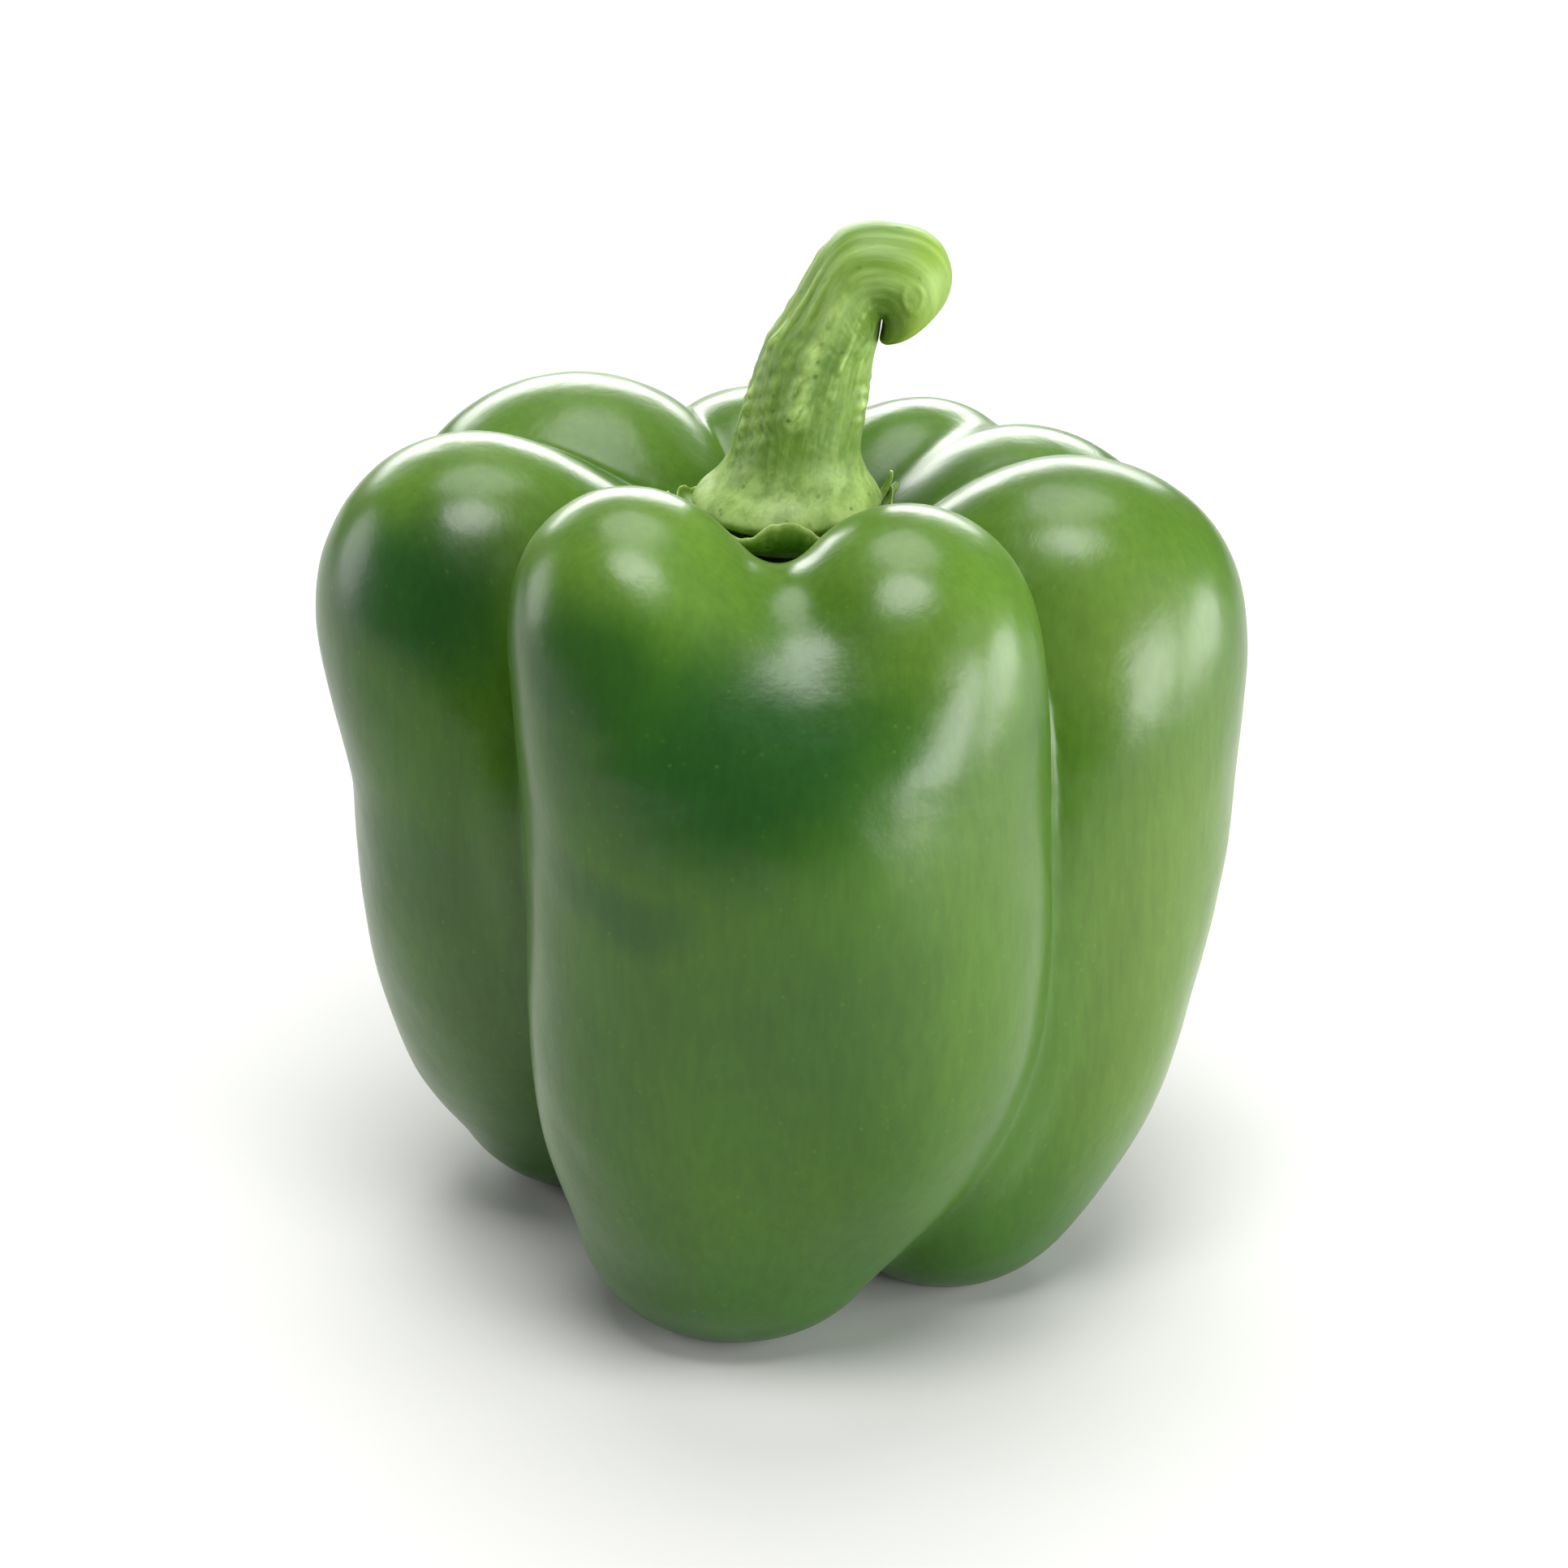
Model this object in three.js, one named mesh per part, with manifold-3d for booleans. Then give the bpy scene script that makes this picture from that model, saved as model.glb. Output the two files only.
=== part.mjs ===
// A green bell pepper: a blocky fruit with eight shoulders that run down to four feet, and its bent stem,
// whose flared foot and curled calyx teeth sit in the hollow between the shoulders.
// Millimetres, +Z up. The origin is on the surface that the pepper stands on, below the middle of its box.
import * as THREE from "three";
import { mergeVertices } from "three/addons/utils/BufferGeometryUtils.js";
import Module from "manifold-3d";

// The fruit's lobes. Each is a row of balls from the hollow at the top, over the shoulder and down to the
// ground: [x, y, height, radius] of root, shoulder, belly, knee and foot. Lobes of one group share a foot.
// The second one is lower than the rest: it is the saddle between the two front shoulders.
const LOBES = [
  {
    group: "front",
    balls: [
      [-8, -11, 60, 9],
      [-14, -23, 75.4, 10.6],
      [-6.8, -24.1, 56, 16.9],
      [-7.6, -23.9, 31, 16.2],
      [-6.4, -20.2, 13.1, 13.9],
    ],
  },
  {
    group: "front",
    balls: [
      [-2, -13, 58, 6],
      [-2.4, -26.2, 71.7, 6],
      [-0.5, -22.6, 53, 12],
      [-1, -20.7, 31, 12.5],
      [-3.5, -19, 15, 12],
    ],
  },
  {
    group: "front",
    balls: [
      [7, -10, 60, 9],
      [10.8, -22, 72, 11.9],
      [7.4, -24.1, 55, 16.8],
      [7.2, -23.7, 32, 16.1],
      [-2.6, -20.2, 13.1, 13.7],
    ],
  },
  {
    group: "right",
    balls: [
      [12, -3, 62, 10.5],
      [27.9, -3, 67.2, 14.3],
      [25.4, -4, 50, 18],
      [22.9, -7, 28, 16.5],
      [17.2, -9.2, 13.7, 14.4],
      [14, -9.2, 13.1, 13.8],
    ],
  },
  {
    group: "back",
    balls: [
      [11, 8, 61, 10],
      [23.5, 11.5, 65.6, 14],
      [22, 15, 50, 17.3],
      [18.5, 19, 30, 16.5],
      [9, 20.5, 13.2, 14],
    ],
  },
  {
    group: "back",
    balls: [
      [5, 11, 61, 10],
      [13, 23, 65.8, 13],
      [11, 24, 50, 17.3],
      [9, 22.5, 30, 16.3],
      [7, 21, 13.2, 14],
    ],
  },
  {
    group: "back",
    balls: [
      [-2, 12, 61, 10],
      [-2, 25.5, 65.3, 14],
      [-3, 24.8, 50, 17.5],
      [-1, 22.5, 30, 16.3],
      [3, 21, 13.2, 14],
    ],
  },
  {
    group: "left",
    balls: [
      [-9, 8, 62, 10.5],
      [-20.7, 18.5, 65.4, 17.3],
      [-19.5, 17, 50, 18.5],
      [-19, 14, 30, 16.3],
      [-19, 11, 13.3, 14],
    ],
  },
  {
    group: "left",
    balls: [
      [-12, 0, 62, 10.5],
      [-29.3, -1, 69.2, 14.1],
      [-24, -2, 51, 17.9],
      [-25, 1, 29, 15.8],
      [-21.2, 9.4, 13.2, 14],
    ],
  },
];
// Thin folds of skin that run down in the creases on either side of the front lobes.
const FOLDS = [
  [
    [-27, -11, 68, 3.5],
    [-25, -16.9, 51, 4],
    [-22.6, -11.7, 31, 4],
    [-17.7, -0.9, 16, 3.5],
  ],
  [
    [26.2, -18, 52, 3.5],
    [24.2, -20.1, 34, 4],
    [18.6, -21.8, 19, 4],
    [12, -15, 10, 3.5],
  ],
];
// The middle, which the lobes close round: its top is the floor of the hollow under the stem.
const CORE = [
  [0, 0, 52, 19.6],
  [0, 0, 40, 22],
  [0, 0, 24, 16],
];

// How softly two lobes of a group melt together: little at both ends, and much where they are one broad face.
// The softness grows from the foot and ends at the shoulder, each over a range of heights.
const SOFT_ENDS = 4;
const BROAD_FACE = { middle: 12, foot: [12, 30], shoulder: [58, 80] };
const FRONT_FACE = { middle: 18, foot: [12, 60], shoulder: [64, 84] };
const SOFTNESS = { front: FRONT_FACE, right: BROAD_FACE, back: BROAD_FACE, left: BROAD_FACE };
// How sharp the creases between the groups are, at the ground and at the shoulders.
const CREASE_LOW = 4;
const CREASE_TOP = 1.6;
const CREASE_HEIGHTS = [15, 70];
const CORE_SOFT = 8;

// Shallow unevenness of the skin: [depth, wavelength across, wavelength upright, phase].
const WAVES = [
  [0.3, 52, 64, 1.3],
  [0.16, 27, 35, 0.4],
];
const WAVES_START = [6, 24];

// The fruit's surface is found along rays from an inner skeleton, which these stations describe from the
// middle of the underside to the middle of the hollow: [share, reach, height, degrees above level].
const STATIONS = [
  [0, 0, 30, -90],
  [0.07, 9, 28, -100],
  [0.15, 13, 27, -80],
  [0.37, 15, 28, 0],
  [0.57, 22, 60, 0],
  [0.78, 23, 60, 90],
  [0.86, 22, 60, 135],
  [0.94, 9, 54, 110],
  [1, 0, 50, 90],
];
const FRUIT_ROWS = 52;
const FRUIT_ROUND = 112;
const CURVE_STEPS = 6;

// The stem's outline in the plane y = 0, ring by ring from its foot in the hollow to the knob at its cut
// end: [outer x, outer height, inner x, inner height, half width across the plane].
const STEM_RINGS = [
  [-5, 73, 5.6, 73, 5.3],
  [-5.2, 74.6, 5.8, 74.6, 5.5],
  [-7.9, 76.2, 8.5, 76.2, 8.2],
  [-8.7, 77, 9.3, 77, 9],
  [-8.2, 78.1, 8.9, 78.1, 8.5],
  [-6.6, 79.6, 8, 79.6, 7.2],
  [-5.3, 81.6, 7.3, 81.6, 6.3],
  [-4.6, 84.2, 7.5, 84.2, 6],
  [-3.4, 88.2, 8, 88, 5.7],
  [-1.9, 92.4, 8.4, 91.2, 5.3],
  [-0.4, 94.7, 8.75, 92.6, 5.1],
  [1.5, 98, 8.95, 93.8, 4.9],
  [3.4, 101.4, 9.05, 94.6, 4.8],
  [5.5, 103.4, 9.12, 94.95, 4.8],
  [8.1, 104, 9.17, 95, 4.9],
  [10.6, 103.8, 9.19, 94.85, 5],
  [13, 103.2, 9.15, 94.4, 5.1],
  [14.8, 101.7, 9.1, 94, 5.1],
  [15.6, 99.4, 9.03, 93.6, 4.9],
  [15.3, 97.3, 8.98, 93.35, 4.6],
  [14.2, 95.6, 8.945, 93.15, 4.2],
  [12.6, 94.2, 8.92, 93, 3.6],
  [10.8, 93.35, 8.9, 92.9, 2.7],
];
const STEM_ROWS = 52;
const STEM_ROUND = 36;
const RIB_COUNT = 9;
const RIB_DEPTH = 0.22;
const RIB_HEIGHTS = [80, 86];
// The ribs fade out towards the inner side, where the knob's end is pressed against the stalk: the sines
// of the angles between which they do.
const RIB_FADE = [0.55, 0.95];

// The calyx teeth: [degrees round the stem, reach of the tip, height of the tip, width at the root].
const TEETH = [
  [-124, 11, 77.6, 4],
  [-86, 10.8, 78.2, 4.6],
  [-40, 11, 76.8, 4],
  [-4, 11.4, 78.4, 3.6],
  [27, 12.4, 76.8, 3.8],
  [74, 11.2, 77, 4],
  [122, 11, 77.4, 4],
  [172, 10.8, 77.4, 3.8],
  [-157, 11, 76.6, 3.8],
];
const TOOTH_ROOT = [4.2, 74.6];
// Where a tooth turns up: reach for a tip that reaches no further, height, and how far a tip draws it along.
const TOOTH_BEND = [8.6, 74.9, 0.7];
const TOOTH_THICKNESS = 0.9;
// What is left at the tip of the root's width squared, and the least share of the thickness.
const TOOTH_POINT = 0.08;
const TOOTH_THINNEST = 0.4;
const TOOTH_ROWS = 6;
const TOOTH_ROUND = 8;

const CLOSE_ENOUGH = 0.001;
const MOST_STEPS = 80;
const STEP_SHARE = 0.9;

const SKIN = new THREE.MeshStandardMaterial({ color: "#4a7d2b", roughness: 0.28, metalness: 0 });
const STALK = new THREE.MeshStandardMaterial({ color: "#86ab4b", roughness: 0.6, metalness: 0 });

const { lerp, degToRad, smoothstep } = THREE.MathUtils;

// A smooth curve through rows of numbers, evenly spaced along it, as many rows as asked for.
function smoothRows(rows, count) {
  const places = new THREE.CatmullRomCurve3(
    rows.map((row) => new THREE.Vector3(row[0], row[1], row[2])),
    false,
    "catmullrom",
    0.5,
  );
  const extras = new THREE.CatmullRomCurve3(
    rows.map((row) => new THREE.Vector3(row[3], row[4] ?? 0, 0)),
    false,
    "catmullrom",
    0.5,
  );
  return Array.from({ length: count }, (_, i) => {
    const place = places.getPoint(i / (count - 1));
    const extra = extras.getPoint(i / (count - 1));
    return [place.x, place.y, place.z, extra.x, extra.y];
  });
}

// The cones that join each ball of a row to the next one.
function conesThrough(balls) {
  const rows = smoothRows(balls, (balls.length - 1) * CURVE_STEPS + 1);
  return rows.slice(1).map((end, i) => {
    const start = new THREE.Vector3(...rows[i]);
    const way = new THREE.Vector3(...end).sub(start);
    const length = way.length();
    const growth = (end[3] - rows[i][3]) / length;
    const lean = growth / Math.sqrt(1 - growth * growth);
    return { start, way: way.normalize(), length, radius: rows[i][3], growth, lean };
  });
}

// How far a point lies outside a row of cones.
function outside(cones, point) {
  let nearest = Infinity;
  for (const { start, way, length, radius, growth, lean } of cones) {
    const x = point.x - start.x;
    const y = point.y - start.y;
    const z = point.z - start.z;
    const along = x * way.x + y * way.y + z * way.z;
    const aside = Math.sqrt(Math.max(x * x + y * y + z * z - along * along, 0));
    const foot = THREE.MathUtils.clamp(along + aside * lean, 0, length);
    nearest = Math.min(nearest, Math.hypot(aside, along - foot) - radius - growth * foot);
  }
  return nearest;
}

// The lesser of two distances, rounded off where they are within `soft` of each other.
function melt(a, b, soft) {
  const close = Math.max(soft - Math.abs(a - b), 0) / soft;
  return Math.min(a, b) - (close * close * close * soft) / 6;
}

const groups = Object.entries(SOFTNESS).map(([name, softness]) => ({
  softness,
  lobes: LOBES.filter((lobe) => lobe.group === name).map((lobe) => conesThrough(lobe.balls)),
}));
const folds = FOLDS.map(conesThrough);
const core = conesThrough(CORE);

// The unevenness at a point, which fades out towards the feet so that they all reach the ground.
function waves(point) {
  const turn = 2 * Math.PI;
  const height = WAVES.reduce((sum, [depth, across, upright, phase]) => {
    const round = Math.sin((point.x / across) * turn + phase) + Math.sin((point.y / across) * turn - phase);
    return sum + depth * round * Math.sin((point.z / upright) * turn + phase);
  }, 0);
  return height * smoothstep(point.z, ...WAVES_START);
}

// How far a point lies outside one group of lobes.
function outsideGroup({ softness, lobes }, point) {
  const { middle, foot, shoulder } = softness;
  const share = smoothstep(point.z, ...foot) * (1 - smoothstep(point.z, ...shoulder));
  const soft = lerp(SOFT_ENDS, middle, share);
  return lobes.map((cones) => outside(cones, point)).reduce((a, b) => melt(a, b, soft));
}

// How far a point lies outside the fruit, whose feet are cut level where they meet the ground.
function outsideFruit(point) {
  const crease = lerp(CREASE_LOW, CREASE_TOP, smoothstep(point.z, ...CREASE_HEIGHTS));
  const sides = groups.map((group) => outsideGroup(group, point));
  const all = [...sides, ...folds.map((cones) => outside(cones, point))];
  const body = melt(all.reduce((a, b) => melt(a, b, crease)), outside(core, point), CORE_SOFT);
  return Math.max(body + waves(point), -point.z);
}

// A closed skin of `rows` rings from pole to pole, whose vertex on a ring is put where `place` says, from
// the ring's share of the way and the angle round it.
function skin(rows, round, place) {
  const profile = Array.from({ length: rows }, (_, i) => {
    const turn = (Math.PI * i) / (rows - 1);
    return new THREE.Vector2(i % (rows - 1) ? Math.sin(turn) : 0, -Math.cos(turn));
  });
  const lathe = new THREE.LatheGeometry(profile, round);
  const position = lathe.getAttribute("position");
  for (let i = 0; i < position.count; i += 1) {
    const share = (i % rows) / (rows - 1);
    const angle = (2 * Math.PI * (Math.floor(i / rows) % round)) / round;
    const put = place(share, angle);
    position.setXYZ(i, put.x, put.y, put.z);
  }
  return welded(lathe);
}

// The geometry with its seam and poles joined up and no face without area.
function welded(geometry) {
  geometry.deleteAttribute("normal");
  geometry.deleteAttribute("uv");
  const whole = mergeVertices(geometry, CLOSE_ENOUGH);
  const corners = whole.index.array;
  const kept = [];
  for (let i = 0; i < corners.length; i += 3) {
    const [a, b, c] = corners.slice(i, i + 3);
    if (a !== b && b !== c && c !== a) kept.push(a, b, c);
  }
  whole.setIndex(kept);
  whole.computeVertexNormals();
  return whole;
}

function station(share) {
  const next = Math.max(STATIONS.findIndex((row) => row[0] >= share), 1);
  const [from, to] = [STATIONS[next - 1], STATIONS[next]];
  const part = (share - from[0]) / (to[0] - from[0]);
  return [1, 2, 3].map((i) => lerp(from[i], to[i], part));
}

function fruit() {
  return skin(FRUIT_ROWS, FRUIT_ROUND, (share, angle) => {
    const [reach, height, rise] = station(share);
    const outward = new THREE.Vector3(Math.sin(angle), -Math.cos(angle), 0);
    const point = outward.clone().multiplyScalar(reach).setZ(height);
    const ray = outward.multiplyScalar(Math.cos(degToRad(rise))).setZ(Math.sin(degToRad(rise)));
    for (let step = 0; step < MOST_STEPS; step += 1) {
      const gap = outsideFruit(point);
      if (Math.abs(gap) < CLOSE_ENOUGH) break;
      point.addScaledVector(ray, -gap * STEP_SHARE);
    }
    if (point.z < 2 * CLOSE_ENOUGH) point.z = 0;
    return point;
  });
}

// The stalk: rings that lean with its bend, with low ribs along it above the flared foot.
function stalk() {
  const rings = smoothRows(STEM_RINGS, STEM_ROWS - 2);
  const closed = [rings[0], ...rings, rings.at(-1)];
  return skin(STEM_ROWS, STEM_ROUND, (share, angle) => {
    const row = Math.round(share * (STEM_ROWS - 1));
    const [outerX, outerZ, innerX, innerZ, halfWidth] = closed[row];
    const outer = new THREE.Vector3(outerX, 0, outerZ);
    const inner = new THREE.Vector3(innerX, 0, innerZ);
    const middle = outer.clone().lerp(inner, 0.5);
    if (row === 0 || row === STEM_ROWS - 1) return middle;
    const ribbed = smoothstep(middle.z, ...RIB_HEIGHTS) * (1 - smoothstep(Math.sin(angle), ...RIB_FADE));
    const ribs = RIB_DEPTH * Math.cos(RIB_COUNT * angle) * ribbed;
    const swell = 1 + ribs / halfWidth;
    const half = inner.sub(middle).multiplyScalar(Math.sin(angle) * swell);
    return middle.add(half).add(new THREE.Vector3(0, -halfWidth * Math.cos(angle) * swell, 0));
  });
}

// One calyx tooth: a thin pointed strip that runs out under the flared foot and curls up at its tip.
function tooth([degrees, tipReach, tipHeight, width]) {
  const path = new THREE.QuadraticBezierCurve3(
    new THREE.Vector3(TOOTH_ROOT[0], 0, TOOTH_ROOT[1]),
    new THREE.Vector3(lerp(TOOTH_BEND[0], tipReach, TOOTH_BEND[2]), 0, TOOTH_BEND[1]),
    new THREE.Vector3(tipReach, 0, tipHeight),
  );
  const strip = skin(TOOTH_ROWS + 2, TOOTH_ROUND, (share, angle) => {
    const row = Math.round(share * (TOOTH_ROWS + 1));
    const along = THREE.MathUtils.clamp((row - 1) / (TOOTH_ROWS - 1), 0, 1);
    const point = path.getPoint(along);
    if (row === 0 || row > TOOTH_ROWS) return point;
    const narrow = Math.sqrt(lerp(1, TOOTH_POINT, along));
    const thickness = TOOTH_THICKNESS * lerp(TOOTH_THINNEST, 1, narrow);
    const across = new THREE.Vector3(0, 1, 0);
    const thick = across.clone().cross(path.getTangent(along));
    point.addScaledVector(across, (-width / 2) * narrow * Math.cos(angle));
    return point.addScaledVector(thick, (thickness / 2) * Math.sin(angle));
  });
  return strip.rotateZ(degToRad(degrees));
}

const wasm = await Module();
wasm.setup();

function solidOf(geometry) {
  const vertProperties = new Float32Array(geometry.getAttribute("position").array);
  const triVerts = new Uint32Array(geometry.index.array);
  return new wasm.Manifold(new wasm.Mesh({ numProp: 3, vertProperties, triVerts }));
}

function geometryOf(solid) {
  const mesh = solid.getMesh();
  const geometry = new THREE.BufferGeometry();
  geometry.setAttribute("position", new THREE.BufferAttribute(mesh.vertProperties, 3));
  geometry.setIndex(new THREE.BufferAttribute(mesh.triVerts, 1));
  geometry.computeVertexNormals();
  return geometry;
}

// The stalk with the calyx teeth that grow from under its foot, as one solid.
function stem() {
  return geometryOf(TEETH.map((row) => solidOf(tooth(row))).reduce((a, b) => a.add(b), solidOf(stalk())));
}

function piece(name, geometry, material) {
  const mesh = new THREE.Mesh(geometry, material);
  mesh.name = name;
  return mesh;
}

const pepper = new THREE.Group();
pepper.name = "bell_pepper";
pepper.add(piece("fruit", fruit(), SKIN));
pepper.add(piece("stem", stem(), STALK));

export default pepper;
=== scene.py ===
"""A green bell pepper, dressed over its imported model: the lobed fruit, and its bent stalk with the calyx."""

import math

import bpy
import numpy as np
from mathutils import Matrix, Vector


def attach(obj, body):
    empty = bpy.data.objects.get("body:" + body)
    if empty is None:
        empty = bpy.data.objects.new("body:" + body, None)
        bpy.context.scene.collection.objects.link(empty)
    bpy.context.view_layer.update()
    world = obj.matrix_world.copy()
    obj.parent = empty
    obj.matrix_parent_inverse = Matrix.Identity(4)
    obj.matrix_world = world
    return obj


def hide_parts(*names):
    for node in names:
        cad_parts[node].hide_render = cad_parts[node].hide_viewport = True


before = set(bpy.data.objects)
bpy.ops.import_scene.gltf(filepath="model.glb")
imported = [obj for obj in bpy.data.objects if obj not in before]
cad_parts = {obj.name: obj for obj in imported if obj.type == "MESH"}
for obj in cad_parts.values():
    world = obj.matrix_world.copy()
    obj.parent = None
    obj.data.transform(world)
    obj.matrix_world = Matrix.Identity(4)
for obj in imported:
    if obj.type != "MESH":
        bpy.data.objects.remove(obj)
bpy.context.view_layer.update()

bl_info = {
    "name": "Green Bell Pepper",
    "version": (1, 0, 0),
    "blender": (4, 5, 0),
    "location": "View3D > Sidebar > Pepper",
    "description": "Builds a blocky green bell pepper with its stalk, and a plain stage to show it on",
    "category": "Object",
}

MM = 0.001
TURN = 2 * math.pi

# The fruit's lobes in four groups, as in the part: each lobe is a row of balls from the hollow at the top,
# over the shoulder and down to the ground, (x, y, height, radius) in millimetres. The front group's second
# lobe is lower than the rest: it is the saddle between the two front shoulders.
LOBES = {
    "front": [
        [
            (-8, -11, 60, 9),
            (-14, -23, 75.4, 10.6),
            (-6.8, -24.1, 56, 16.9),
            (-7.6, -23.9, 31, 16.2),
            (-6.4, -20.2, 13.1, 13.9),
        ],
        [
            (-2, -13, 58, 6),
            (-2.4, -26.2, 71.7, 6),
            (-0.5, -22.6, 53, 12),
            (-1, -20.7, 31, 12.5),
            (-3.5, -19, 15, 12),
        ],
        [
            (7, -10, 60, 9),
            (10.8, -22, 72, 11.9),
            (7.4, -24.1, 55, 16.8),
            (7.2, -23.7, 32, 16.1),
            (-2.6, -20.2, 13.1, 13.7),
        ],
    ],
    "right": [
        [
            (12, -3, 62, 10.5),
            (27.9, -3, 67.2, 14.3),
            (25.4, -4, 50, 18),
            (22.9, -7, 28, 16.5),
            (17.2, -9.2, 13.7, 14.4),
            (14, -9.2, 13.1, 13.8),
        ],
    ],
    "back": [
        [
            (11, 8, 61, 10),
            (23.5, 11.5, 65.6, 14),
            (22, 15, 50, 17.3),
            (18.5, 19, 30, 16.5),
            (9, 20.5, 13.2, 14),
        ],
        [(5, 11, 61, 10), (13, 23, 65.8, 13), (11, 24, 50, 17.3), (9, 22.5, 30, 16.3), (7, 21, 13.2, 14)],
        [
            (-2, 12, 61, 10),
            (-2, 25.5, 65.3, 14),
            (-3, 24.8, 50, 17.5),
            (-1, 22.5, 30, 16.3),
            (3, 21, 13.2, 14),
        ],
    ],
    "left": [
        [
            (-9, 8, 62, 10.5),
            (-20.7, 18.5, 65.4, 17.3),
            (-19.5, 17, 50, 18.5),
            (-19, 14, 30, 16.3),
            (-19, 11, 13.3, 14),
        ],
        [
            (-12, 0, 62, 10.5),
            (-29.3, -1, 69.2, 14.1),
            (-24, -2, 51, 17.9),
            (-25, 1, 29, 15.8),
            (-21.2, 9.4, 13.2, 14),
        ],
    ],
}
# Thin folds of skin that run down in the creases on either side of the front lobes.
FOLDS = [
    [(-27, -11, 68, 3.5), (-25, -16.9, 51, 4), (-22.6, -11.7, 31, 4), (-17.7, -0.9, 16, 3.5)],
    [(26.2, -18, 52, 3.5), (24.2, -20.1, 34, 4), (18.6, -21.8, 19, 4), (12, -15, 10, 3.5)],
]
# The middle of the fruit, whose top is the floor of the hollow.
CORE = [(0, 0, 52, 19.6), (0, 0, 40, 22), (0, 0, 24, 16)]
# How softly a group's lobes melt together: at their ends, and then for each kind of face at most, with the
# heights over which that starts and ends.
SOFT_ENDS = 4
BROAD_FACE = (12, (12, 30), (58, 80))
FRONT_FACE = (18, (12, 60), (64, 84))
SOFTNESS = {"front": FRONT_FACE, "right": BROAD_FACE, "back": BROAD_FACE, "left": BROAD_FACE}
# How softly the groups melt together low down and at the top, the heights between which that changes, and
# how softly they melt into the middle.
CREASE_LOW = 4
CREASE_TOP = 1.6
CREASE_HEIGHTS = (15, 70)
CORE_SOFT = 8
# Shallow waves in the skin: depth, length across, length upright and phase. They start over these heights.
WAVES = [(0.3, 52, 64, 1.3), (0.16, 27, 35, 0.4)]
WAVES_START = (6, 24)

# Where the rays that find the fruit's surface start: share of the way from the middle of the underside to
# the middle of the hollow, reach, height, and the ray's degrees above level.
STATIONS = np.array(
    [
        (0, 0, 30, -90),
        (0.07, 9, 28, -100),
        (0.15, 13, 27, -80),
        (0.37, 15, 28, 0),
        (0.57, 22, 60, 0),
        (0.78, 23, 60, 90),
        (0.86, 22, 60, 135),
        (0.94, 9, 54, 110),
        (1, 0, 50, 90),
    ],
    float,
)
# Each span of a row has this many balls, and a row is only said to be FAR away beyond that many millimetres.
BALL_STEPS = 9
FAR = 14
# A ray's search ends this close to the surface, or after this many steps, each this share of the distance.
CLOSE_ENOUGH = 0.002
MOST_STEPS = 60
STEP_SHARE = 0.9
# Slopes are read over this many millimetres, and the least bend and normal keep divisions safe.
NUDGE = 0.05
LEAST_BEND = 1e-6
LEAST_NORMAL = 1e-9
# When the points are spread evenly: how far each moves towards the middle of its neighbours, and the least
# slope that is trusted on the way back to the surface.
EVENING_PULL = 0.6
LEAST_SLOPE = 0.2

# Soft bumps are the sum of this many waves, whose lengths spread about the bumps' size by these shares.
BUMP_WAVES = 14
BUMP_SPREAD = (0.6, 1.5)
# The swells in the skin: size in millimetres, seed, share of the full depth, and squeeze upright. They fade
# in over these heights.
SWELLS = [(11, 3, 1, 1), (4, 8, 0.35, 0.6)]
SWELLS_START = (4, 16)
# How long the skin is from the middle of the underside to the middle of the hollow, in millimetres.
SKIN_LENGTH = 150

# The stalk, ring by ring from its foot to the knob at its cut end: outer x, outer height, inner x, inner
# height and half width, as in the part.
STEM_RINGS = [
    (-5, 73, 5.6, 73, 5.3),
    (-5.2, 74.6, 5.8, 74.6, 5.5),
    (-7.9, 76.2, 8.5, 76.2, 8.2),
    (-8.7, 77, 9.3, 77, 9),
    (-8.2, 78.1, 8.9, 78.1, 8.5),
    (-6.6, 79.6, 8, 79.6, 7.2),
    (-5.3, 81.6, 7.3, 81.6, 6.3),
    (-4.6, 84.2, 7.5, 84.2, 6),
    (-3.4, 88.2, 8, 88, 5.7),
    (-1.9, 92.4, 8.4, 91.2, 5.3),
    (-0.4, 94.7, 8.75, 92.6, 5.1),
    (1.5, 98, 8.95, 93.8, 4.9),
    (3.4, 101.4, 9.05, 94.6, 4.8),
    (5.5, 103.4, 9.12, 94.95, 4.8),
    (8.1, 104, 9.17, 95, 4.9),
    (10.6, 103.8, 9.19, 94.85, 5),
    (13, 103.2, 9.15, 94.4, 5.1),
    (14.8, 101.7, 9.1, 94, 5.1),
    (15.6, 99.4, 9.03, 93.6, 4.9),
    (15.3, 97.3, 8.98, 93.35, 4.6),
    (14.2, 95.6, 8.945, 93.15, 4.2),
    (12.6, 94.2, 8.92, 93, 3.6),
    (10.8, 93.35, 8.9, 92.9, 2.7),
]
# Rings to each span, and points in each ring.
STALK_STEPS = 15
STALK_ROUND = 200
# The ridges along the stalk: degrees round it from the front, degrees wide, share of the full height, how
# bumpy they are, and where they start and end along the stalk in millimetres from its foot.
RIDGES = [
    (-66, 6, 0.8, 0.9, 6, 24),
    (-58, 4.5, 0.8, 0.2, 19, 28),
    (-40, 4, 0.6, 0.2, 20, 28),
    (-9, 11, 1.0, 0.3, 11, 28),
    (24, 4, 0.45, 0.9, 14, 30),
    (66, 8, 0.9, 0.8, 9, 25),
    (98, 8, 0.7, 0.5, 8, 24),
    (130, 10, 0.8, 0.4, 8, 33),
    (166, 11, 0.9, 0.4, 9, 34),
    (-156, 9, 0.7, 0.4, 8, 34),
    (-118, 9, 0.9, 0.6, 8, 35),
]
# Where the short slanted wrinkles lie: degrees round the stalk, degrees wide, and start and end along it.
WRINKLED = (-42, 26, 8, 24)
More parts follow.
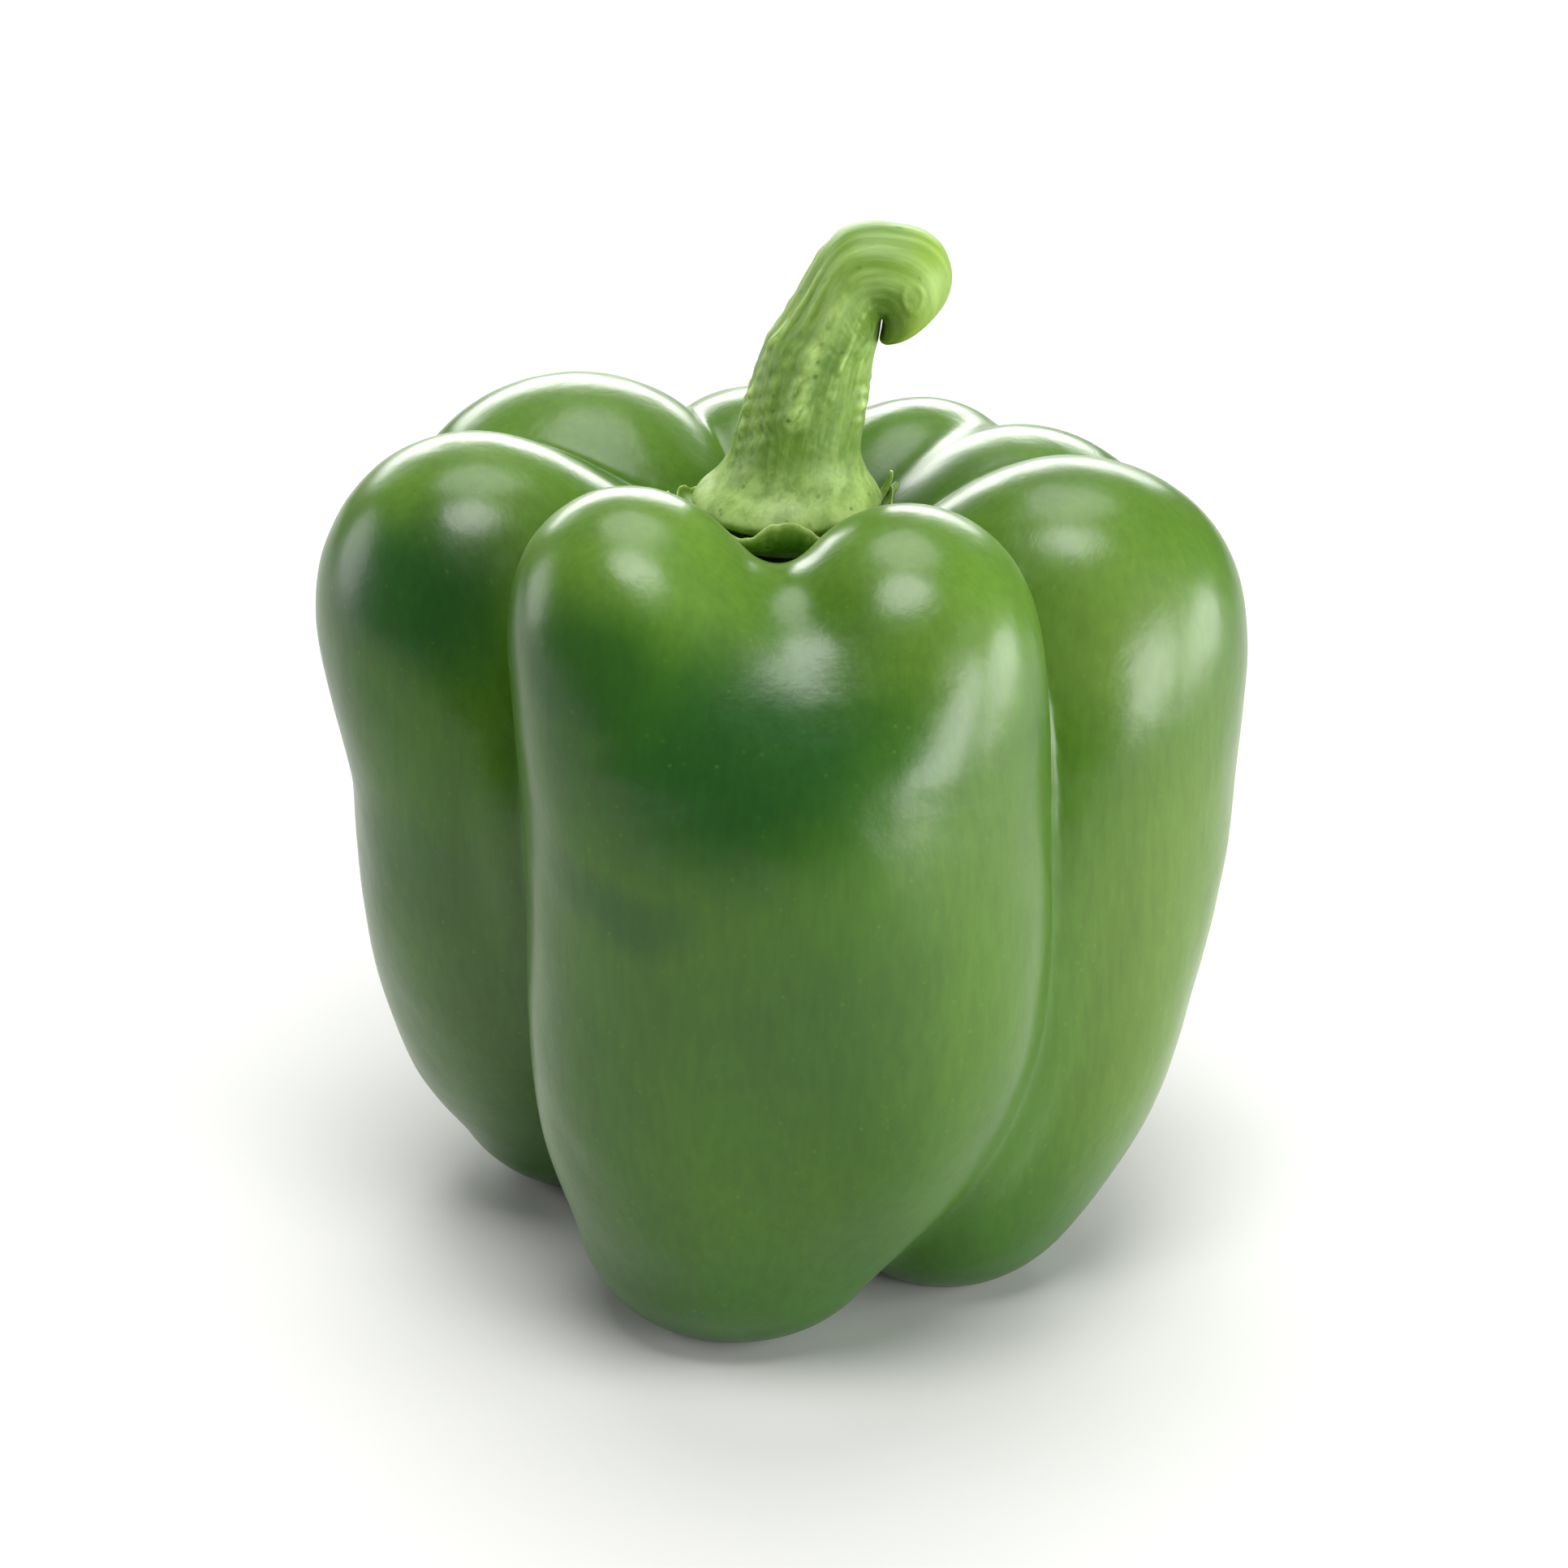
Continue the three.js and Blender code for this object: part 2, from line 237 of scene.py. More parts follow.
# The small curl of skin on the knob: degrees round, millimetres along, its radius and its width.
KNOB_CURL = (-4, 32.5, 1.1, 0.35)
# Soft bumps drawn on the straightened stalk: squeeze across both ways and along it, size in millimetres, and
# seed. In order: how a ridge wanders, the knots on it, the wrinkles, the fibres and the broad lumps. The
# wrinkles are drawn on the skin laid flat and slanted, so theirs is a squeeze across it, along and through.
DRIFT = ((0.15, 0.15, 1), 16, 5)
KNOTS = ((0.2, 0.2, 1), 1.7, 11)
WRINKLES = ((0.3, 1, 0), 0.9, 31)
FIBRES = ((1, 1, 0.1), 0.9, 41)
LUMPS = ((1, 1, 0.7), 5, 51)
DRIFT_DEGREES = 4
WRINKLE_SLANT = 0.6
# How deep the wrinkles are away from where they lie, and the depths of fibres, lumps and curl beside theirs.
WRINKLE_LEAST = 0.25
FIBRE_SHARE = 0.2
LUMP_SHARE = 1.2
CURL_SHARE = 1.4
# The skin between the ridges lies lower than the plain form by this share of a ridge's height.
FURROW_SHARE = 0.3
# Stretches along the stalk, in millimetres from its foot: a ridge's ends, where the relief starts above the
# flared foot, where it weakens on the knob and by how much, and how pale the foot is and where that ends.
RIDGE_EASE = 4
RELIEF_START = (7, 12)
KNOB_START = (23, 30)
KNOB_SMOOTHER = 0.7
PALE_FOOT = (0.8, (6, 12))
# The inner side has no relief where the knob is pressed against it. The relief fades out over these lengths
# along the stalk, and over these sines of the angle round it.
PRESSED_FROM = (14, 18)
PRESSED_SIDE = (0.55, 0.95)
# How far the relief may rise above the highest ring.
MOST_ABOVE = 0.3

# The calyx frill's edge round the stalk's foot: degrees round from the front, degrees wide, how blunt it is,
# further reach and further height in millimetres. The first is the broad arch at the front, and the second
# the pointed leaf on its left.
FRILL_WAVES = [
    (1, 16, 3, 0.3, 2.3),
    (-36, 9, 1.3, 1.0, 2.0),
    (38, 14, 3, 0.3, 1.7),
    (-72, 13, 3, 0.5, 1.4),
    (-108, 10, 2, 0.4, 1.0),
    (70, 12, 2, 0.4, 1.5),
    (104, 9, 2, 0.5, 1.3),
    (140, 13, 3, 0.4, 1.2),
    (178, 15, 3, 0.4, 1.5),
    (-146, 12, 2, 0.4, 1.4),
]
# Reach and height of its root and its edge, how far its bend lies past the edge and above the root, and half
# its thickness at the root and at the edge.
FRILL_ROOT = (5, 74.5)
FRILL_EDGE = (10.1, 76.1)
FRILL_BEND = (0.4, 0.2)
FRILL_THICK = (0.45, 0.22)
# Small ripples in its edge: height in millimetres, number round it, and phase.
FRILL_RIPPLES = [(0.06, 31, 0), (0.04, 53, 1)]
# How many sections it has and points in each, and from what share of its width on it turns pale.
FRILL_COUNTS = (260, 26)
FRILL_PALE_FROM = 0.86

# The calyx teeth that stand out from the frill: degrees round the stalk from the right, reach and height of
# the tip, and width at the root.
TEETH = [
    (-128, 10.9, 77.4, 3.2),
    (17, 10.7, 78.7, 2.8),
    (30, 12.6, 76.4, 3),
    (74, 11.2, 77, 4),
    (122, 11, 77.4, 4),
    (172, 11.2, 77.2, 3.4),
    (-157, 11, 76.6, 3.8),
]
TOOTH_ROOT = (4.2, 74.6)
# Where a tooth turns up: reach, height, and the share of the way to its own tip's reach that this moves.
TOOTH_BEND = (8.6, 74.9, 0.7)
# The share of its squared width that a tooth loses by its tip, and how wavy its sides are: share and waves.
TOOTH_POINT = 0.97
TOOTH_WAVY = (0.12, 9)
# Depth of the cupped sides, height and width share of the vein, half thickness, and its least share.
TOOTH_CUP = 0.35
TOOTH_VEIN = (0.12, 0.16)
TOOTH_THICK = (0.3, 0.35)
# How many rings it has and points in each, and how sharply its sides turn pale.
TOOTH_COUNTS = (40, 20)
TOOTH_PALE_SIDES = 6
# The calyx takes its patterns from this far down, so that it looks like the low part of the stalk.
CALYX_DOWN = (0, 0, 60)

# Patches of deeper green on the fruit: on the upper front and the left lobe they are painted shade, where
# the skin shows no reflection, and at the back they are its own deeper green. Middle, reach each way in
# millimetres, and how deep the green is.
DEEP_GREEN_AND_SHADE_PATCHES = [
    ((-5.5, -37, 67.5), (18, 20, 12.5), 0.95),
    ((-18, -34, 74), (9, 15, 8), 0.8),
    ((-15, -39, 52.5), (9, 10, 4), 0.55),
    ((-34, -12, 70.5), (10, 16, 9.5), 0.95),
    ((-36, -10, 46), (10, 14, 7), 0.4),
    ((36, 14, 62), (9, 13, 11), 0.6),
    ((4, 38, 64), (15, 12, 10), 0.8),
    ((-26, 30, 60), (11, 11, 9), 0.7),
]
# Patches of painted light, mostly on the right: the skin is painted paler where more light and a pale veil of
# reflection fall on it. Middle, reach each way in millimetres, and how pale the green is.
PAINTED_LIGHT_PATCHES = [
    ((37, -10, 38), (17, 22, 34), 0.9),
    ((32, -16, 72), (13, 14, 14), 0.8),
    ((17, -34, 76), (10, 14, 13), 0.5),
    ((17, -36, 48), (9, 14, 24), 0.35),
    ((-18, 34, 36), (14, 14, 22), 0.6),
]

# The camera: distance in millimetres, degrees above level, aim in millimetres, and lens.
CAMERA_DISTANCE = 400
CAMERA_RISE = 24
CAMERA_AIM = (0, 0, 47.4)
CAMERA_LENS = 93.9

# The lamps: name, place and aim in millimetres, width and height in millimetres, and power in watts.
LAMPS = [
    ("top_front", (-10, -220, 640), (0, -10, 60), 400, 270, 3.2),
    ("window", (520, -470, 150), (0, 0, 60), 460, 240, 3.2),
    ("back", (-60, 700, 290), (0, 0, 60), 900, 260, 4.8),
    ("left_side", (-620, 140, 200), (0, 0, 50), 400, 400, 1.6),
    ("right_side", (620, -30, 95), (0, 0, 50), 420, 280, 2.7),
    ("right_fill", (540, -300, 260), (0, 0, 50), 600, 600, 0.7),
    ("overhead", (0, 200, 800), (0, 0, 40), 600, 500, 3.6),
]


def smooth_rows(rows, steps):
    """Rows of numbers along a smooth curve through the given ones, `steps` to each span."""
    given = np.array(rows, float)
    padded = np.vstack([2 * given[0] - given[1], given, 2 * given[-1] - given[-2]])
    share = np.arange(steps)[:, None] / steps
    spans = []
    for before, start, end, after in zip(padded, padded[1:], padded[2:], padded[3:]):
        first = (end - before) * share
        second = (2 * before - 5 * start + 4 * end - after) * share**2
        third = (3 * start - before - 3 * end + after) * share**3
        spans.append(start + (first + second + third) / 2)
    return np.vstack([*spans, given[-1:]])


def ramp(values, low, high):
    """Eases from 0 at `low` to 1 at `high`."""
    share = np.clip((values - low) / (high - low), 0, 1)
    return share * share * (3 - 2 * share)


def melt(a, b, soft):
    """The lesser of two distances, rounded off where they are within `soft` of each other."""
    close = np.maximum(soft - np.abs(a - b), 0) / soft
    return np.minimum(a, b) - close**3 * soft / 6


def outside(balls, points):
    """How far each point lies outside a smooth row of balls, where points out of its reach are just far."""
    reach = balls[:, 3].max() + FAR
    low, high = balls[:, :3].min(0) - reach, balls[:, :3].max(0) + reach
    near = np.all((points > low) & (points < high), 1)
    x, y, z = np.ascontiguousarray(points[near].T)
    gaps = np.empty((len(balls), len(x)), points.dtype)
    for gap, ball in zip(gaps, balls):
        np.sqrt((x - ball[0]) ** 2 + (y - ball[1]) ** 2 + (z - ball[2]) ** 2, out=gap)
        gap -= ball[3]
    nearest = np.clip(gaps.argmin(0), 1, len(balls) - 2)
    before, here, after = (np.take_along_axis(gaps, nearest[None] + i, 0)[0] for i in (-1, 0, 1))
    slope = (after - before) / 2
    bend = np.maximum(before + after - 2 * here, LEAST_BEND)
    shift = np.clip(-slope / bend, -1, 1)
    result = np.full(len(points), FAR, points.dtype)
    result[near] = here + slope * shift + bend * shift * shift / 2
    return result


class Fruit:
    """The fruit's form: lobes that melt together in groups, with creases and folds between the groups."""

    def __init__(self):
        """Works out the balls of every lobe, fold and the core once."""
        self.groups = [(SOFTNESS[name], list(map(self.row, lobes))) for name, lobes in LOBES.items()]
        self.folds = [self.row(balls) for balls in FOLDS]
        self.core = self.row(CORE)

    def row(self, balls):
        """A closely spaced row of balls through the given ones."""
        return smooth_rows(balls, BALL_STEPS).astype(np.float32)

    def outside(self, points):
        """How far each point lies outside the fruit, whose feet are cut level at the ground."""
        height = points[:, 2]
        crease = CREASE_LOW + (CREASE_TOP - CREASE_LOW) * ramp(height, *CREASE_HEIGHTS)
        body = None
        for (most, foot, shoulder), lobes in self.groups:
            soft = SOFT_ENDS + (most - SOFT_ENDS) * ramp(height, *foot) * (1 - ramp(height, *shoulder))
            side = outside(lobes[0], points)
            for balls in lobes[1:]:
                side = melt(side, outside(balls, points), soft)
            body = side if body is None else melt(body, side, crease)
        for balls in self.folds:
            body = melt(body, outside(balls, points), crease)
        body = melt(body, outside(self.core, points), CORE_SOFT)
        return np.maximum(body + waves(points), -height)

    def outward(self, points):
        """How far each point lies outside, and the direction in which that grows fastest."""
        here = self.outside(points)
        axes = NUDGE * np.eye(3, dtype=np.float32)
        slopes = [(self.outside(points + axis) - here) / NUDGE for axis in axes]
        return here, np.stack(slopes, 1)


def waves(points):
    """The shallow unevenness of the skin, which fades out towards the feet."""
    x, y, z = points.T
    height = 0
    for depth, across, upright, phase in WAVES:
        level = np.sin(x / across * TURN + phase) + np.sin(y / across * TURN - phase)
        height = height + depth * level * np.sin(z / upright * TURN + phase)
    return height * ramp(z, *WAVES_START)


def relief(places, size, seed):
    """Soft bumps of about `size` at each place, from -1 to 1, the same for the same seed."""
    rng = np.random.default_rng(seed)
    total = np.zeros(len(places))
    for _ in range(BUMP_WAVES):
        way = rng.normal(size=3)
        way *= TURN / size * rng.uniform(*BUMP_SPREAD) / np.linalg.norm(way)
        total += np.sin(places @ way + rng.uniform(0, TURN))
    return total / math.sqrt(BUMP_WAVES / 2) / 2


def piece_of(name, points, faces):
    """A smooth piece from points in millimetres, linked to the scene."""
    mesh = bpy.data.meshes.new(name)
    mesh.from_pydata((points * MM).tolist(), [], faces)
    mesh.shade_smooth()
    piece = bpy.data.objects.new(name, mesh)
    bpy.context.scene.collection.objects.link(piece)
    return piece


def closed(grid, first, last):
    """The grid of rings with one more at each end that is a single point."""
    return np.concatenate([np.repeat(first, grid.shape[1], 1), grid, np.repeat(last, grid.shape[1], 1)])


def capped(grid):
    """The points of a grid of rings whose first and last rings are a single point each."""
    return np.concatenate([grid[0, :1], grid[1:-1].reshape(-1, *grid.shape[2:]), grid[-1, :1]])


def capped_faces(rows, round_count):
    """The faces of a closed skin of rings that ends in a point at both ends."""
    number = 1 + np.arange((rows - 2) * round_count).reshape(rows - 2, round_count)
    beside = np.roll(number, -1, 1)
    last = 0 * number[0] + number.size + 1
    quads = np.stack([number[:-1], beside[:-1], beside[1:], number[1:]], -1).reshape(-1, 4)
    low = np.stack([0 * number[0], beside[0], number[0]], -1)
    high = np.stack([last, number[-1], beside[-1]], -1)
    return low.tolist() + quads.tolist() + high.tolist()


def hoop_faces(rows, round_count):
    """The faces of a closed hoop of sections, which joins up both ways."""
    number = np.arange(rows * round_count).reshape(rows, round_count)
    ahead, beside = np.roll(number, -1, 0), np.roll(number, -1, 1)
    return np.stack([number, ahead, np.roll(ahead, -1, 1), beside], -1).reshape(-1, 4).tolist()


def note(piece, name, values):
    """Keeps a place in metres, or a number, for each vertex, which the material's patterns are drawn in."""
    places = values.ndim == 2
    attribute = piece.data.attributes.new(name, "FLOAT_VECTOR" if places else "FLOAT", "POINT")
    kept = values * MM if places else values
    attribute.data.foreach_set("vector" if places else "value", kept.astype(np.float32).ravel())


def dress(piece, material, node):
    """Gives a piece its material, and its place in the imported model."""
    piece.data.materials.append(material)
    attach(piece, "root")
    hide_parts(node)


def fruit_rings(rows, round_count, evening):
    """The fruit's surface, found along rays, then spread evenly over it."""
    form = Fruit()
    share = np.linspace(0, 1, rows)
    reach, height, rise = (np.interp(share, STATIONS[:, 0], STATIONS[:, i]) for i in (1, 2, 3))
    rise = np.radians(rise)
    angle = np.arange(round_count) * TURN / round_count
    outward = np.stack([np.sin(angle), -np.cos(angle), 0 * angle], 1)
    up = np.array([0, 0, 1.0])
    start = outward[None] * reach[:, None, None] + up * height[:, None, None]
    way = outward[None] * np.cos(rise)[:, None, None] + up * np.sin(rise)[:, None, None]
    points, way = (grid.reshape(-1, 3).astype(np.float32) for grid in (start, way))
    live = np.arange(len(points))
    for _ in range(MOST_STEPS):
        gap = form.outside(points[live])
        points[live] -= way[live] * gap[:, None] * STEP_SHARE
        live = live[np.abs(gap) > CLOSE_ENOUGH]
        if not len(live):
            break
    rings = points.reshape(rows, round_count, 3)
    for _ in range(evening):
        around = np.roll(rings, 1, 1) + np.roll(rings, -1, 1)
        rings[1:-1] += ((around[1:-1] + rings[:-2] + rings[2:]) / 4 - rings[1:-1]) * EVENING_PULL
        points = rings[1:-1].reshape(-1, 3)
        gap, slope = form.outward(points)
        points = points - slope * (gap / np.maximum((slope**2).sum(1), LEAST_SLOPE))[:, None]
        rings[1:-1] = points.reshape(rows - 2, round_count, 3)
    return rings


def fruit_relief(rings, depth):
    """Dimples and shallow swells in the skin, along its normals and faded out at the feet."""
    along = np.gradient(rings, axis=0)
    around = np.roll(rings, -1, 1) - np.roll(rings, 1, 1)
    normal = np.cross(around, along)
    normal /= np.maximum(np.linalg.norm(normal, axis=2, keepdims=True), LEAST_NORMAL)
    places = rings.reshape(-1, 3)
    swell = 0
    for size, seed, share, upright in SWELLS:
        swell = swell + share * relief(places * (1, 1, upright), size, seed)
    fade = ramp(places[:, 2], *SWELLS_START)
    moved = rings + normal * (swell * fade * depth).reshape(rings.shape[:2])[..., None]
    moved[0], moved[-1] = rings[0], rings[-1]
    moved[..., 2] = np.maximum(moved[..., 2], 0)
    return moved


def stalk_grids(settings):
    """The stalk's surface, the same points on a straightened stalk, and how pale each is."""
    rows = smooth_rows(STEM_RINGS, STALK_STEPS)
    outer = np.stack([rows[:, 0], 0 * rows[:, 0], rows[:, 1]], 1)
    inner = np.stack([rows[:, 2], 0 * rows[:, 0], rows[:, 3]], 1)
    middle, half, width = (outer + inner) / 2, (inner - outer) / 2, rows[:, 4]
    length = np.concatenate([[0], np.cumsum(np.linalg.norm(np.diff(middle, axis=0), axis=1))])
    angle = np.arange(STALK_ROUND) * TURN / STALK_ROUND
    size = (np.linalg.norm(half, axis=1) + width) / 2
    shape = len(rows), STALK_ROUND
    along = np.broadcast_to(length[:, None], shape)
    straight = np.stack([size[:, None] * np.sin(angle), -size[:, None] * np.cos(angle), along], -1)
    places = straight.reshape(-1, 3)

    def bumps(kind, spots=places, shift=0):
        """One kind of soft bumps at each point."""
        squeeze, bump_size, seed = kind
        return relief(spots * squeeze + shift, bump_size, seed).reshape(shape)

    def off(degrees):
        """Degrees from a line along the stalk that wanders a little."""
        turned = np.angle(np.exp(1j * (angle - math.radians(degrees))))
        return np.degrees(turned) + DRIFT_DEGREES * bumps(DRIFT)

    def between(start, end):
        """Eases in and out of a stretch of the stalk."""
        return ramp(along, start, start + RIDGE_EASE) * (1 - ramp(along, end - RIDGE_EASE, end))

    ridges = np.zeros(shape)
    for degrees, wide, share, bumpy, start, end in RIDGES:
        knots = 1 + bumpy * bumps(KNOTS, shift=degrees)
        ridges += share * knots * between(start, end) * np.exp(-((off(degrees) / wide) ** 2))
    pressed = ramp(np.sin(angle) * ramp(along, *PRESSED_FROM), *PRESSED_SIDE)

    arc = angle * size[:, None]
    slanted = np.stack([arc - WRINKLE_SLANT * along, along + WRINKLE_SLANT * arc, 0 * along], -1)
    degrees, wide, start, end = WRINKLED
    wrinkled = WRINKLE_LEAST + between(start, end) * np.exp(-((off(degrees) / wide) ** 2))
    wrinkles = bumps(WRINKLES, slanted.reshape(-1, 3)) * wrinkled

    degrees, start, radius, wide = KNOB_CURL
    aside = off(degrees) / 360 * TURN * size[:, None]
    curl = np.exp(-(((np.hypot(aside, along - start) - radius) / wide) ** 2))

    stalk_part = ramp(along, *RELIEF_START)
    smoothing = 1 - KNOB_SMOOTHER * ramp(along, *KNOB_START)
    raised = settings.ridge_height / MM * (ridges - FURROW_SHARE) * smoothing
    crinkled = (wrinkles + FIBRE_SHARE * bumps(FIBRES)) * smoothing
    crinkled = crinkled + LUMP_SHARE * bumps(LUMPS) + CURL_SHARE * curl
    raised = raised + settings.wrinkle_depth / MM * crinkled
    swell = 1 + raised * stalk_part * (1 - pressed) / size[:, None]
    rings = middle[:, None] + half[:, None] * (np.sin(angle) * swell)[..., None]
    rings = rings - np.array([0, 1, 0]) * (width[:, None] * np.cos(angle) * swell)[..., None]
    top = max(row[1] for row in STEM_RINGS)
    rings[..., 2] = np.minimum(rings[..., 2], top + MOST_ABOVE)

    foot, end = np.array([[[0.0, 0, 0]]]), np.array([[[0.0, 0, length[-1]]]])
    # The ridges and the smooth flared foot are pale.
    foot_pale, foot_ends = PALE_FOOT
    pale = np.clip(ridges, 0, 1) * (1 - pressed) * stalk_part
    pale = np.maximum(pale, foot_pale * (1 - ramp(along, *foot_ends)))[..., None]
    zero = np.zeros((1, 1, 1))
    rings = closed(rings, middle[:1, None], middle[-1:, None])
    return rings, closed(straight, foot, end), closed(pale, zero, zero)


def frill_grids():
    """The calyx frill, a thin curved hoop under the stalk's foot, and how pale each point is."""
    count, section = FRILL_COUNTS
    angle = np.arange(count) * TURN / count
    reach, height = FRILL_EDGE[0] + 0 * angle, FRILL_EDGE[1] + 0 * angle
    for degrees, wide, blunt, further, taller in FRILL_WAVES:
        off = np.degrees(np.angle(np.exp(1j * (angle - math.radians(degrees)))))
        hump = np.exp(-(np.abs(off / wide) ** blunt))
        reach, height = reach + further * hump, height + taller * hump
    for ripple, number, phase in FRILL_RIPPLES:
        height = height + ripple * np.sin(angle * number + phase)
    turn = np.arange(section) * TURN / section
    share = ((1 - np.cos(turn)) / 2)[None, :, None]
    root = np.array(FRILL_ROOT, float)[None, None]
    bend = np.stack([reach + FRILL_BEND[0], 0 * reach + FRILL_ROOT[1] + FRILL_BEND[1]], -1)[:, None]
    edge = np.stack([reach, height], -1)[:, None]
    path = root * (1 - share) ** 2 + 2 * bend * share * (1 - share) + edge * share**2
    tangent = 2 * (bend - root) * (1 - share) + 2 * (edge - bend) * share
    tangent /= np.linalg.norm(tangent, axis=-1, keepdims=True)
    normal = np.stack([-tangent[..., 1], tangent[..., 0]], -1)
    thick = FRILL_THICK[0] + (FRILL_THICK[1] - FRILL_THICK[0]) * share
    path = path + normal * thick * np.sin(turn)[None, :, None]
    outward = np.stack([np.sin(angle), -np.cos(angle)], 1)[:, None]
    grid = np.concatenate([outward * path[..., :1], path[..., 1:]], -1)
    return grid, np.broadcast_to(ramp(share[..., 0], FRILL_PALE_FROM, 1), grid.shape[:2])


def tooth_grids(degrees, tip_reach, tip_height, width):
    """One calyx tooth, a thin pointed strip that curls up, and how pale each point is."""
    count, round_count = TOOTH_COUNTS
    along = np.linspace(0, 1, count)
    root = np.array([TOOTH_ROOT[0], 0, TOOTH_ROOT[1]])
    reach, height, drawn = TOOTH_BEND
    bend = np.array([reach * (1 - drawn) + tip_reach * drawn, 0, height])
    tip = np.array([tip_reach, 0, tip_height])
    share = along[:, None]
    path = root * (1 - share) ** 2 + 2 * bend * share * (1 - share) + tip * share**2
    tangent = 2 * (bend - root) * (1 - share) + 2 * (tip - bend) * share
    tangent /= np.linalg.norm(tangent, axis=1, keepdims=True)
    thick = np.cross(np.array([0, 1.0, 0]), tangent)
    angle = np.arange(round_count) * TURN / round_count
    wavy, waves_along = TOOTH_WAVY
    narrow = np.sqrt(1 - TOOTH_POINT * along) * (1 + wavy * np.sin(along * waves_along + degrees))
    side = -width / 2 * narrow[:, None] * np.cos(angle)
    cup = TOOTH_CUP * (np.cos(angle) ** 2)[None] * narrow[:, None]
    vein_height, vein_wide = TOOTH_VEIN
    vein = vein_height * np.exp(-((np.cos(angle) / vein_wide) ** 2))[None] * np.sign(np.sin(angle))
    thickness, least = TOOTH_THICK
    body = thickness * (least + (1 - least) * narrow[:, None]) * np.sin(angle)
    depth = body + cup + vein * narrow[:, None]
    rings = path[:, None] + np.array([0, 1.0, 0]) * side[..., None] + thick[:, None] * depth[..., None]
    rings = closed(rings, path[:1, None], path[-1:, None])
    turn = math.radians(degrees)
    spin = np.array([[math.cos(turn), -math.sin(turn), 0], [math.sin(turn), math.cos(turn), 0], [0, 0, 1]])
    pale = (np.concatenate([[0], along, [1]])[:, None] + np.abs(np.cos(angle))[None] ** TOOTH_PALE_SIDES) / 2
    return rings @ spin.T, pale


def linear(colour):
    """The linear red, green, blue and alpha of an sRGB hex colour."""
    channels = [int(colour[i : i + 2], 16) / 255 for i in (1, 3, 5)]
    return tuple(c / 12.92 if c <= 0.04045 else ((c + 0.055) / 1.055) ** 2.4 for c in channels) + (1.0,)


def add(tree, kind, values=(), links=(), **settings):
    """Adds a node with its own `settings`, its sockets' `values` and what the sockets read.

    In `links` a node stands for its first output.
    """
    made = tree.nodes.new(kind)
    for field, value in settings.items():
        setattr(made, field, value)
    for socket, value in dict(values).items():
        made.inputs[socket].default_value = value
    for socket, source in dict(links).items():
        output = source.outputs[0] if isinstance(source, bpy.types.Node) else source
        tree.links.new(output, made.inputs[socket])
    return made


def start_material(name):
    """A new material with an empty tree of nodes."""
    material = bpy.data.materials.new(name)
    material.use_nodes = True
    material.node_tree.nodes.clear()
    return material, material.node_tree


def patched(tree, place, patches, share):
    """The greater of a share and the strength of soft-edged patches, each largest at its middle."""
    for centre, reach, most in patches:
        away = add(
            tree,
            "ShaderNodeVectorMath",
            {1: tuple(value * MM for value in centre)},
            {0: place},
            operation="SUBTRACT",
        )
        shares = add(
            tree,
            "ShaderNodeVectorMath",
            {1: tuple(1 / (value * MM) for value in reach)},
            {0: away},
            operation="MULTIPLY",
        )
        far = add(tree, "ShaderNodeVectorMath", links={0: shares}, operation="LENGTH")
        patch = add(
            tree,
            "ShaderNodeMapRange",
            {"From Min": 1.3, "From Max": 0.35, "To Max": most},
            {"Value": far.outputs["Value"]},
            interpolation_type="SMOOTHSTEP",
        )
        if share is not None:
            patch = add(tree, "ShaderNodeMath", links={0: share, 1: patch}, operation="MAXIMUM")
        share = patch
    return share


